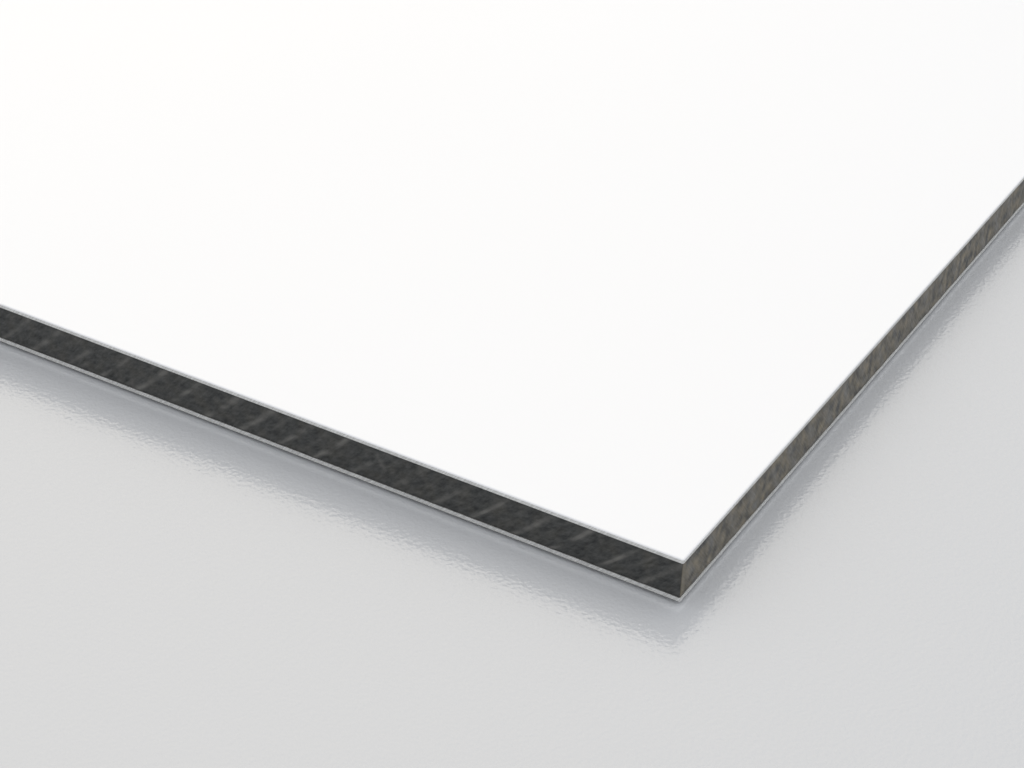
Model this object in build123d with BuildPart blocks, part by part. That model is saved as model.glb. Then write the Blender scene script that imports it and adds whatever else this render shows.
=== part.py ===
from build123d import *
import os

os.makedirs("parts", exist_ok=True)

# Aluminium composite panel, sawn to size: two thin coated aluminium sheets bonded to a solid
# dark polyethylene core. It lies flat, its white face up. The origin is the middle of the
# underside, X runs along the long edges, Y along the short ones and Z up. Millimetres.

# Sawn size
panel_length = 297.0
panel_width = 210.0

# Layers, from the underside up
back_sheet_thickness = 0.3
core_thickness = 2.4
face_sheet_thickness = 0.3

# What the saw leaves at the edges
corner_radius = 0.1  # upright corner, broken through all three layers
face_arris_break = 0.08  # upper arris, eased by the saw, coating and all
back_arris_radius = 0.05  # lower arris, rolled a little where the teeth leave the metal
core_set_back = 0.04  # the softer core is cut back a little behind the two sheets

# Heights of the two bond lines
core_underside = back_sheet_thickness
core_top = core_underside + core_thickness

# Back sheet: the aluminium underneath, with the arris that the teeth rolled over
with BuildPart() as back_sheet:
    with BuildSketch(Plane.XY):
        RectangleRounded(panel_length, panel_width, corner_radius)
    extrude(amount=back_sheet_thickness)
    underside = back_sheet.faces().sort_by(Axis.Z)[0]
    fillet(underside.edges(), radius=back_arris_radius)

back_sheet.part.label = "back_sheet"
export_step(back_sheet.part, "parts/back_sheet.step")

# Core: solid polyethylene from one bond line to the other, a hair short of the sheets all round
with BuildPart() as core:
    with BuildSketch(Plane.XY.offset(core_underside)):
        RectangleRounded(panel_length, panel_width, corner_radius)
        offset(amount=-core_set_back, mode=Mode.REPLACE)
    extrude(amount=core_thickness)

core.part.label = "core"
export_step(core.part, "parts/core.step")

# Face sheet: the white-coated aluminium on top, its upper arris eased
with BuildPart() as face_sheet:
    with BuildSketch(Plane.XY.offset(core_top)):
        RectangleRounded(panel_length, panel_width, corner_radius)
    extrude(amount=face_sheet_thickness)
    white_face = face_sheet.faces().sort_by(Axis.Z)[-1]
    chamfer(white_face.edges(), length=face_arris_break)

face_sheet.part.label = "face_sheet"
export_step(face_sheet.part, "parts/face_sheet.step")
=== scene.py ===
import math
import random

import bmesh
import bpy
from mathutils import Matrix, Vector, noise


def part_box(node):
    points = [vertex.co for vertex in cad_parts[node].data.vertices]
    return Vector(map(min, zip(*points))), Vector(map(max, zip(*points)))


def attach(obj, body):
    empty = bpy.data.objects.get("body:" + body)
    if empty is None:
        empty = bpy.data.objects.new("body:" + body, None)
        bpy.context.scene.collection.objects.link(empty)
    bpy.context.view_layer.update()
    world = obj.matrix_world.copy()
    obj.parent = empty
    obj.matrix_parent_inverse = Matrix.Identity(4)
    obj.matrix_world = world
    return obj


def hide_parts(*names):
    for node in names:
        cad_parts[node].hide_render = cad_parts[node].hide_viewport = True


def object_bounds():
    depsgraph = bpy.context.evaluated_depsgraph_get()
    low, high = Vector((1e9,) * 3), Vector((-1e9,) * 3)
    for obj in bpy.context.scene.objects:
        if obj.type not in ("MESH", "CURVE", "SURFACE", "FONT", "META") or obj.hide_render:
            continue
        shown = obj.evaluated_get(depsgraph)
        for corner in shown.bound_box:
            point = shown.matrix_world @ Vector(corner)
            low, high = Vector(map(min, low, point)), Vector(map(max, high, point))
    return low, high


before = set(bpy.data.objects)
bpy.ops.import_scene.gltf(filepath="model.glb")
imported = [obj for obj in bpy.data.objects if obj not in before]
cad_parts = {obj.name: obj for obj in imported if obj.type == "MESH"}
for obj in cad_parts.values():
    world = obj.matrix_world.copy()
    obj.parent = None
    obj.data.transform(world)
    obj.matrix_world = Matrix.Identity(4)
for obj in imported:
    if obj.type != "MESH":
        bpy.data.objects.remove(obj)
cad_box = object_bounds()


# Back sheet: the aluminium underneath, rolled to 0.3 mm, its outer face service-coated grey. The
# teeth leave the panel here, so the lower arris is rolled a little, and on the long sides it has
# lost its coat. The cut above it is bare metal. On the short sides the coated arris is painted dark,
# as painted shade of the gap under the edge.

MM = 0.001
micron = MM / 1000
back_low, back_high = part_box("back_sheet")
corner_radius = 0.1 * MM
corner_facets = 4
rolled_arris = 0.05 * MM
rolled_facets = 5
roll_wave = 0.02 * MM
roll_wave_length = 1.4 * MM
roll_step = 0.5 * MM
long_edge = 10 * MM  # of the edges of a blank, only those of its sides are longer
level_from = 0.999  # a face whose normal is more upright than this lies level
coated_from = 0.1  # a facet that looks down more than this, and along Y less, keeps its coat
scratch_run = 2.5 * MM  # how far a scratch leans over the thickness of the panel


def round_edges(mesh, edges, radius, facets):
    """Rounds edges of a blank with narrow facets."""
    bmesh.ops.bevel(mesh, geom=edges, offset=radius, affect="EDGES", segments=facets, profile=0.5,
                    material=-1)


def blank(low, high, corner):
    """A flat blank that fills a box, with its four upright corners rounded."""
    mesh = bmesh.new()
    bmesh.ops.create_cube(mesh, size=1.0)
    bmesh.ops.scale(mesh, vec=high - low, verts=mesh.verts)
    bmesh.ops.translate(mesh, vec=(low + high) / 2, verts=mesh.verts)
    uprights = [edge for edge in mesh.edges
                if abs(edge.verts[0].co.z - edge.verts[1].co.z) > (high.z - low.z) / 2]
    round_edges(mesh, uprights, corner, corner_facets)
    return mesh


def rim(mesh, height):
    """The edges of a blank that run round it at one height."""
    return [edge for edge in mesh.edges
            if all(abs(vert.co.z - height) < micron for vert in edge.verts)]


def divide_sides(mesh, step):
    """Divides the long edges of a blank into steps, so that its sides can take up relief."""
    for axis in (0, 1):
        long_edges = [edge for edge in mesh.edges
                      if abs(edge.verts[0].co[axis] - edge.verts[1].co[axis]) > long_edge]
        run = max(edge.calc_length() for edge in long_edges)
        bmesh.ops.subdivide_edges(mesh, edges=long_edges, cuts=round(run / step) - 1,
                                  use_grid_fill=True)


def open_caps(mesh):
    """Takes the flat top and underside off a blank, so that only its band of sides is divided."""
    mesh.normal_update()
    level_faces = [face for face in mesh.faces if abs(face.normal.z) > level_from]
    bmesh.ops.delete(mesh, geom=level_faces, context="FACES_ONLY")


def close_caps(mesh):
    """Puts a flat top and underside back on a band of sides."""
    highest = max(vert.co.z for vert in mesh.verts)
    lowest = min(vert.co.z for vert in mesh.verts)
    for height in (highest, lowest):
        open_edges = [edge for edge in rim(mesh, height) if edge.is_boundary]
        bmesh.ops.edgeloop_fill(mesh, edges=open_edges)
    mesh.normal_update()


def lay_saw_run(mesh):
    """A UV map in millimetres for the sides: across and up the path of a tooth of the blade."""
    layer = mesh.loops.layers.uv.new("saw_run")
    for face in mesh.faces:
        along = 1 if abs(face.normal.x) > abs(face.normal.y) else 0
        for loop in face.loops:
            place = loop.vert.co
            lean = scratch_run * place.z / cad_box[1][2]
            loop[layer].uv = ((place[along] + lean) / MM, place.z / MM)


mesh = blank(back_low, back_high, corner_radius)
round_edges(mesh, rim(mesh, back_low.z), rolled_arris, rolled_facets)
open_caps(mesh)
divide_sides(mesh, roll_step)
arris_shade_layer = mesh.verts.layers.float.new("arris_shade")
for vert in mesh.verts:
    height = vert.co.z - back_low.z
    if micron < height < rolled_arris + micron:
        # The rolled arris is marked for painted shade, which the coat shows as a dark band.
        vert[arris_shade_layer] = 1.0
        vert.co.z += roll_wave * (1 - height / rolled_arris) * (
            0.5 + 0.5 * noise.noise(vert.co / roll_wave_length))
close_caps(mesh)
for face in mesh.faces:
    keeps_coat = face.normal.z < -coated_from and abs(face.normal.y) < coated_from
    face.material_index = 1 if keeps_coat else 0
lay_saw_run(mesh)

# Bare metal and service coat: colours, roughness and the depth of the finest relief, and the colour of
# the painted shade on the coated arris
metal_colours = ((0.6, 0.6, 0.59), (0.86, 0.86, 0.85))
metal_roughness = (0.5, 0.75)
metal_scratches = 0.008 * MM
service_colours = ((0.47, 0.48, 0.47), (0.53, 0.54, 0.53))
service_roughness = (0.42, 0.6)
service_peel = 0.0016 * MM
arris_shade_colour = (0.13, 0.125, 0.118)
noise_low = 0.3  # nearly all of a noise lies between these two
noise_high = 0.7
sharp_from = math.radians(50)


def new_material(name):
    """A material with its shader, and the node and link lists to add to."""
    material = bpy.data.materials.new(name)
    material.use_nodes = True
    tree = material.node_tree
    return material, tree.nodes["Principled BSDF"], tree.nodes, tree.links


def new_group(name, inputs, outputs):
    """A shader node group with named values in and named values out."""
    group = bpy.data.node_groups.new(name, "ShaderNodeTree")
    for name_in, value in inputs.items():
        socket = group.interface.new_socket(name_in, in_out="INPUT", socket_type="NodeSocketFloat")
        socket.default_value = value
    for name_out in outputs:
        group.interface.new_socket(name_out, in_out="OUTPUT", socket_type="NodeSocketFloat")
    given = group.nodes.new("NodeGroupInput")
    result = group.nodes.new("NodeGroupOutput")
    return group, given, result


def use_group(nodes, group, **values):
    """Places a node group in a material with its own values."""
    node = nodes.new("ShaderNodeGroup")
    node.node_tree = group
    for socket, value in values.items():
        node.inputs[socket].default_value = value
    return node


def noise_over(nodes, links, place, **values):
    """A noise laid over a piece, with its own values."""
    node = nodes.new("ShaderNodeTexNoise")
    for socket, value in values.items():
        node.inputs[socket].default_value = value
    links.new(place, node.inputs["Vector"])
    return node


def full_range(nodes, links, noise_node):
    """The middle of a noise, where nearly all of it lies, drawn out to run from 0 to 1."""
    node = nodes.new("ShaderNodeMapRange")
    node.inputs["From Min"].default_value = noise_low
    node.inputs["From Max"].default_value = noise_high
    links.new(noise_node.outputs["Fac"], node.inputs["Value"])
    return node.outputs["Result"]


def spread(nodes, links, value, low, high):
    """A value of 0 to 1 spread from one number to another."""
    node = nodes.new("ShaderNodeMapRange")
    node.inputs["To Min"].default_value = low
    node.inputs["To Max"].default_value = high
    links.new(value, node.inputs["Value"])
    return node.outputs["Result"]


def tint(nodes, links, value, low, high):
    """A colour between two colours."""
    node = nodes.new("ShaderNodeMix")
    node.data_type = "RGBA"
    node.inputs["A"].default_value = (*low, 1)
    node.inputs["B"].default_value = (*high, 1)
    links.new(value, node.inputs["Factor"])
    return node.outputs["Result"]


def over(nodes, links, plain, attribute, colour):
    """A colour laid over another where a value kept in the mesh calls for it."""
    kept = nodes.new("ShaderNodeAttribute")
    kept.attribute_name = attribute
    node = nodes.new("ShaderNodeMix")
    node.data_type = "RGBA"
    node.inputs["B"].default_value = (*colour, 1)
    links.new(plain, node.inputs["A"])
    links.new(kept.outputs["Fac"], node.inputs["Factor"])
    return node.outputs["Result"]


def bump(nodes, links, height, depth):
    """Fine relief that the shader shows on top of the mesh, its depth in metres."""
    node = nodes.new("ShaderNodeBump")
    node.inputs["Distance"].default_value = depth
    links.new(height, node.inputs["Height"])
    return node.outputs["Normal"]


def finish_piece(mesh, name, node, materials):
    """Turns a mesh into an object that rides on the body in the place of its node."""
    bmesh.ops.recalc_face_normals(mesh, faces=mesh.faces)
    for face in mesh.faces:
        face.smooth = abs(face.normal.z) < level_from
    for edge in mesh.edges:
        edge.smooth = edge.calc_face_angle(0) < sharp_from
    data = bpy.data.meshes.new(name)
    mesh.to_mesh(data)
    mesh.free()
    for material in materials:
        data.materials.append(material)
    piece = bpy.data.objects.new(name, data)
    bpy.context.scene.collection.objects.link(piece)
    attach(piece, "root")
    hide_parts(node)


# Scratches that the teeth drag across a side, fine across their path and long along it
saw_scratches, given, result = new_group("saw_scratches", {"Fineness": 9.0, "Length": 1.2},
                                         ["Scratch", "Mottle"])
nodes, links = saw_scratches.nodes, saw_scratches.links
place = nodes.new("ShaderNodeUVMap")
place.uv_map = "saw_run"
stretch = nodes.new("ShaderNodeCombineXYZ")
links.new(given.outputs["Fineness"], stretch.inputs["X"])
links.new(given.outputs["Length"], stretch.inputs["Y"])
stretched = nodes.new("ShaderNodeVectorMath")
stretched.operation = "MULTIPLY"
links.new(place.outputs["UV"], stretched.inputs[0])
links.new(stretch.outputs["Vector"], stretched.inputs[1])
scratch = noise_over(nodes, links, stretched.outputs["Vector"], Scale=1.0, Detail=4.0)
mottle = noise_over(nodes, links, place.outputs["UV"], Scale=2.4, Detail=4.0, Roughness=0.65)
links.new(full_range(nodes, links, scratch), result.inputs["Scratch"])
links.new(full_range(nodes, links, mottle), result.inputs["Mottle"])

# A coat rolled on to the coil: faint streaks along the panel, a fine peel and broad soft clouds
rolled_coat, given, result = new_group("rolled_coat", {"Peel": 900.0, "Streaks": 260.0},
                                       ["Peel", "Streak", "Cloud"])
nodes, links = rolled_coat.nodes, rolled_coat.links
place = nodes.new("ShaderNodeTexCoord")
peel = noise_over(nodes, links, place.outputs["Object"], Detail=2.0)
links.new(given.outputs["Peel"], peel.inputs["Scale"])
along = nodes.new("ShaderNodeMapping")
along.inputs["Scale"].default_value = (0.02, 1.0, 1.0)
links.new(place.outputs["Object"], along.inputs["Vector"])
streak = noise_over(nodes, links, along.outputs["Vector"], Detail=3.0)
links.new(given.outputs["Streaks"], streak.inputs["Scale"])
cloud = noise_over(nodes, links, place.outputs["Object"], Scale=14.0, Detail=2.0)
links.new(full_range(nodes, links, peel), result.inputs["Peel"])
links.new(full_range(nodes, links, streak), result.inputs["Streak"])
links.new(full_range(nodes, links, cloud), result.inputs["Cloud"])

cut_metal, shader, nodes, links = new_material("cut_aluminium")
shader.inputs["Metallic"].default_value = 1.0
marks = use_group(nodes, saw_scratches, Fineness=14.0, Length=2.0)
links.new(tint(nodes, links, marks.outputs["Scratch"], *metal_colours), shader.inputs["Base Color"])
links.new(spread(nodes, links, marks.outputs["Mottle"], *metal_roughness), shader.inputs["Roughness"])
links.new(bump(nodes, links, marks.outputs["Scratch"], metal_scratches), shader.inputs["Normal"])

service_coat, shader, nodes, links = new_material("service_coat")
coat = use_group(nodes, rolled_coat, Peel=1400.0, Streaks=180.0)
plain = tint(nodes, links, coat.outputs["Streak"], *service_colours)
# Where the arris is marked, the coat is painted dark: painted shade of the gap under the edge.
links.new(over(nodes, links, plain, "arris_shade", arris_shade_colour), shader.inputs["Base Color"])
links.new(spread(nodes, links, coat.outputs["Cloud"], *service_roughness), shader.inputs["Roughness"])
links.new(bump(nodes, links, coat.outputs["Peel"], service_peel), shader.inputs["Normal"])

finish_piece(mesh, "back_sheet_sawn", "back_sheet", [cut_metal, service_coat])


# Core: solid dark polyethylene, bonded between the sheets and sawn with them. On the short sides
# each turn of the blade leaves a thin light ridge that leans towards the corner. On the long sides
# the marks are broad and faint, and the sides are painted lighter and warmer as painted light, over
# patches of smeared plastic. Each upright corner carries a painted highlight.

core_low, core_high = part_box("core")
core_corner = corner_radius - (core_low.x - back_low.x)
core_step = 0.16 * MM
core_rows = 14

# Marks of the teeth: from one to the next, from the end to the first, and how far each leans over
# the height of the core, how wide it is and how far it stands proud. Then how much smear and painted
# light lie over the side, the painted light making the long sides lighter and warmer all over, and
# how much that changes from patch to patch.
short_side = {"axis": 1, "pitch": 2.76 * MM, "first": 2.65 * MM, "run": 2.6 * MM,
              "width": 0.2 * MM, "proud": 0.036 * MM, "smear_and_painted_light": 0.02, "patches": 0.1}
long_side = {"axis": 0, "pitch": 2.7 * MM, "first": 1.9 * MM, "run": 1.3 * MM,
             "width": 0.4 * MM, "proud": 0.03 * MM, "smear_and_painted_light": 0.43, "patches": 0.85}
pitch_slack = 0.14 * MM
mark_widths = (0.8, 1.3)
mark_strengths = (0.5, 1.0)
mark_mean = 0.55
mark_swing = 0.9
mark_patch = 0.4 * MM
bow = 0.12 * MM
hollow = 0.012 * MM

# A fainter mark that follows each of them
faint_after = (0.8 * MM, 2.1 * MM)
faint_width = 0.8
faint_strengths = (0.0, 0.4)

# One short stray mark: how far along the side and how far up its two ends are
stray_top = (20.2 * MM, 2.15 * MM)
stray_foot = (19.7 * MM, 1.4 * MM)
stray_width = 0.15 * MM
stray_strength = 0.4

# Towards the corners the lean and the relief ease off, and a painted highlight lies on the upright
# corner and the end of each long side
corner_easing = 3 * MM
end_fade = 0.4 * MM
painted_highlight_end = 0.35 * MM
corner_painted_highlight = 0.6

# A patch of smeared plastic, and the painted shadow line at each bond
patch_length = 0.55 * MM
patch_height = 0.7 * MM
seam_shadow = 0.6


def tooth_path(side, height):
    """How far a tooth has moved along the side when it is at a height in the core."""
    rise = (height - core_low.z) / (core_high.z - core_low.z)
    return side["run"] * rise + bow * 4 * rise * (1 - rise)


def tooth_marks(side, seed):
    """Where the teeth marked one side, and how wide and strong each mark is."""
    chance = random.Random(seed)
    length = core_high[side["axis"]] - core_low[side["axis"]]
    count = math.ceil((length + side["run"]) / side["pitch"]) + 1
    marks = []
    for number in range(count):
        place = side["first"] + number * side["pitch"] + chance.uniform(-pitch_slack, pitch_slack)
        width = side["width"] * chance.uniform(*mark_widths)
        strength = chance.uniform(*mark_strengths)
        faint_place = place + chance.uniform(*faint_after)
        faint_strength = chance.uniform(*faint_strengths)
        marks.append([(place, width, strength),
                      (faint_place, side["width"] * faint_width, faint_strength)])
    return marks


def mark_at(side, marks, along, height):
    """How strongly a point of a side is marked, and how deep it lies in the hollow between marks."""
    crossing = along + tooth_path(side, height)
    nearest = (crossing - side["first"]) / side["pitch"]
    strongest = 0.0
    for number in range(max(0, int(nearest) - 1), min(len(marks), int(nearest) + 3)):
        for place, width, strength in marks[number]:
            patch = noise.noise((place / MM, height / mark_patch, side["run"] / MM))
            ridge = math.exp(-(((crossing - place) / width) ** 2))
            strongest = max(strongest, strength * (mark_mean + mark_swing * patch) * ridge)
    return min(1.0, strongest), 0.5 - 0.5 * math.cos(2 * math.pi * nearest)


def stray_mark_at(along, height):
    """How strongly the stray mark, which leans the other way, shows at a point of its side."""
    top = Vector(stray_top)
    foot = Vector(stray_foot)
    step = Vector((along, height)) - top
    share = min(1.0, max(0.0, step.dot(foot - top) / (foot - top).length_squared))
    return math.exp(-((step - (foot - top) * share).length / stray_width) ** 2)


mesh = blank(core_low, core_high, core_corner)
open_caps(mesh)
for row in range(1, core_rows):
    cut = core_low.lerp(core_high, row / core_rows)
    bmesh.ops.bisect_plane(mesh, geom=mesh.verts[:] + mesh.edges[:] + mesh.faces[:],
                           dist=micron / 10, plane_co=cut, plane_no=(0, 0, 1))
divide_sides(mesh, core_step)
mark_layer = mesh.verts.layers.float.new("saw_mark")
smear_and_light_layer = mesh.verts.layers.float.new("smear_and_light_mask")
seam_shadow_layer = mesh.verts.layers.float.new("seam_shadow_mask")
corner_centres = [Vector((x, y)) for x in (core_low.x + core_corner, core_high.x - core_corner)
                  for y in (core_low.y + core_corner, core_high.y - core_corner)]
for vert in mesh.verts:
    spoke = vert.co.xy - min(corner_centres, key=lambda centre: (vert.co.xy - centre).length)
    # Painted highlight: the corner arc is painted lighter and warmer as it turns towards a long side.
    vert[smear_and_light_layer] = corner_painted_highlight * (abs(spoke.y) / core_corner) ** 2
    # Painted shadow: the rows at each bond are painted darker.
    at_seam = min(vert.co.z - core_low.z, core_high.z - vert.co.z) < micron
    vert[seam_shadow_layer] = seam_shadow if at_seam else 0.0
for side, facing, seed in ((short_side, -1, 3), (short_side, 1, 5), (long_side, -1, 7),
                           (long_side, 1, 11)):
    marks = tooth_marks(side, seed)
    axis = side["axis"]
    across = 1 - axis
    face_at = core_high[across] * facing
    start = core_low[axis] + core_corner
    end = core_high[axis] - core_corner
    for vert in mesh.verts:
        if abs(vert.co[across] - face_at) > micron or not start < vert.co[axis] < end:
            continue
        room = min(vert.co[axis] - start, end - vert.co[axis])
        easing = min(1.0, room / corner_easing)
        lean = tooth_path(side, vert.co.z) - side["run"] / 2
        vert.co[axis] -= lean * easing * easing * (3 - 2 * easing)
        along = vert.co[axis] - core_low[axis]
        strength, dip = mark_at(side, marks, along, vert.co.z)
        if side is short_side and facing < 0:
            strength = max(strength, stray_strength * stray_mark_at(along, vert.co.z))
        patch = noise.noise((along / patch_length, vert.co.z / patch_height, face_at / MM))
        vert[mark_layer] = strength
        # Smear and painted light: on the long sides the whole side is painted lighter and warmer, in
        # patches.
        vert[smear_and_light_layer] = max(0.0, side["smear_and_painted_light"] + side["patches"] * patch)
        # Painted highlight: the end of a long side next to the corner.
        if side is long_side and room < painted_highlight_end:
            vert[smear_and_light_layer] = max(vert[smear_and_light_layer], corner_painted_highlight)
        relief = side["proud"] * strength - hollow * dip
        vert.co[across] += facing * relief * min(1.0, room / end_fade)
close_caps(mesh)
lay_saw_run(mesh)

# Plastic: plain, smeared by the teeth and lightened by painted light, torn along a mark, and in painted
# shadow at the bonds
plastic_colours = ((0.001, 0.0025, 0.003), (0.058, 0.059, 0.057))
plastic_roughness = (0.34, 0.6)
plastic_scratches = 0.012 * MM
smear_and_light_colour = (0.205, 0.175, 0.122)
torn_colour = (0.147, 0.143, 0.133)
seam_shadow_colour = (0.005, 0.005, 0.005)

core_plastic, shader, nodes, links = new_material("core_polyethylene")
marks = use_group(nodes, saw_scratches, Fineness=7.0, Length=1.1)
plain = tint(nodes, links, marks.outputs["Mottle"], *plastic_colours)
# Smear and painted light: a lighter, warmer colour laid over the plain plastic.
smear_and_painted_light = over(nodes, links, plain, "smear_and_light_mask", smear_and_light_colour)
torn = over(nodes, links, smear_and_painted_light, "saw_mark", torn_colour)
links.new(over(nodes, links, torn, "seam_shadow_mask", seam_shadow_colour), shader.inputs["Base Color"])
links.new(spread(nodes, links, marks.outputs["Scratch"], *plastic_roughness), shader.inputs["Roughness"])
links.new(bump(nodes, links, marks.outputs["Scratch"], plastic_scratches), shader.inputs["Normal"])

finish_piece(mesh, "core_sawn", "core", [core_plastic])


# Face sheet: the aluminium on top, coil-coated white and bonded to the core. The saw eases its
# upper arris a little, so the coat just turns the edge, and the cut below it is bare metal.

face_low, face_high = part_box("face_sheet")
eased_arris = 0.08 * MM
eased_facets = 3
white_from = 0.2  # a facet that looks up more than this is white
white_colours = ((0.87, 0.875, 0.894), (0.878, 0.883, 0.902))
white_roughness = (0.25, 0.27)
white_peel = 0.0012 * MM

mesh = blank(face_low, face_high, corner_radius)
round_edges(mesh, rim(mesh, face_high.z), eased_arris, eased_facets)
mesh.normal_update()
for face in mesh.faces:
    face.material_index = 1 if face.normal.z > white_from else 0
lay_saw_run(mesh)

white_coat, shader, nodes, links = new_material("white_coat")
coat = use_group(nodes, rolled_coat, Peel=900.0, Streaks=260.0)
links.new(tint(nodes, links, coat.outputs["Cloud"], *white_colours), shader.inputs["Base Color"])
links.new(spread(nodes, links, coat.outputs["Streak"], *white_roughness), shader.inputs["Roughness"])
links.new(bump(nodes, links, coat.outputs["Peel"], white_peel), shader.inputs["Normal"])

finish_piece(mesh, "face_sheet_coated", "face_sheet", [cut_metal, white_coat])


# Table: a pale, glossy table top with a fine grain, which mirrors the panel's edge faintly. It
# lies a hair under the panel, and the gap between them is dark.

table_reach = 12.0
table_gap = 0.2 * MM
table_colour = (0.564, 0.576, 0.6, 1)
table_grain = 0.024 * MM

mesh = bmesh.new()
bmesh.ops.create_grid(mesh, x_segments=1, y_segments=1, size=table_reach)
bmesh.ops.translate(mesh, vec=(0, 0, -table_gap), verts=mesh.verts)

table_top, shader, nodes, links = new_material("table_top")
place = nodes.new("ShaderNodeTexCoord")
grain = noise_over(nodes, links, place.outputs["Object"], Scale=3700.0, Detail=1.5)
shader.inputs["Base Color"].default_value = table_colour
shader.inputs["Roughness"].default_value = 0.16
shader.inputs["IOR"].default_value = 1.8
links.new(bump(nodes, links, grain.outputs["Fac"], table_grain), shader.inputs["Normal"])

data = bpy.data.meshes.new("table")
mesh.to_mesh(data)
mesh.free()
data.materials.append(table_top)
table = bpy.data.objects.new("table", data)
bpy.context.scene.collection.objects.link(table)


# Light: a plain white light tent all round the panel, a little cool. A soft glow behind it and to
# the left is brighter and warmer.

tent_level = 0.97
tent_colour = (0.98, 0.99, 1.0)
glow_level = 1.65
glow_colour = (1.0, 0.94, 0.84)
glow_azimuth = math.radians(48)
glow_height = math.radians(35)
glow_from = 0.72  # cosine of the angle from its middle at which the glow begins

world = bpy.data.worlds.new("light_tent")
world.use_nodes = True
bpy.context.scene.world = world
nodes, links = world.node_tree.nodes, world.node_tree.links
towards = nodes.new("ShaderNodeTexCoord")
facing_glow = nodes.new("ShaderNodeVectorMath")
facing_glow.operation = "DOT_PRODUCT"
facing_glow.inputs[1].default_value = (math.cos(glow_height) * math.cos(glow_azimuth),
                                       math.cos(glow_height) * math.sin(glow_azimuth),
                                       math.sin(glow_height))
links.new(towards.outputs["Generated"], facing_glow.inputs[0])
glow = nodes.new("ShaderNodeMapRange")
glow.interpolation_type = "SMOOTHSTEP"
glow.inputs["From Min"].default_value = glow_from
links.new(facing_glow.outputs["Value"], glow.inputs["Value"])
tent = nodes["Background"]
links.new(tint(nodes, links, glow.outputs["Result"], tent_colour, glow_colour), tent.inputs["Color"])
links.new(spread(nodes, links, glow.outputs["Result"], tent_level, glow_level),
          tent.inputs["Strength"])


# Camera: a long lens close above the front corner, turned to look along the panel. The foot of the
# corner falls on one pixel of the picture, and its depth sets the scale.

front_corner = Vector(cad_box[0])
picture_width = 1024
picture_height = 768
lens_in_pixels = 2194
corner_pixel = (679.8, 602.8)
corner_depth = 122.3 * MM
heading = math.radians(29.57)
downward = math.radians(32.88)
roll = math.radians(2.19)

camera_data = bpy.data.cameras.new("camera")
camera_data.sensor_width = 36.0
camera_data.lens = camera_data.sensor_width * lens_in_pixels / picture_width
camera_data.clip_start = 0.01
camera_data.clip_end = 100.0
turn = (Matrix.Rotation(heading - math.pi / 2, 3, "Z")
        @ Matrix.Rotation(math.pi / 2 - downward, 3, "X")
        @ Matrix.Rotation(roll, 3, "Z"))
corner_seen = Vector((corner_pixel[0] - picture_width / 2, picture_height / 2 - corner_pixel[1],
                      -lens_in_pixels)) * corner_depth / lens_in_pixels
camera = bpy.data.objects.new("camera", camera_data)
camera.matrix_world = Matrix.Translation(front_corner - turn @ corner_seen) @ turn.to_4x4()
bpy.context.scene.collection.objects.link(camera)
bpy.context.scene.camera = camera

bpy.context.scene.view_settings.view_transform = "Standard"
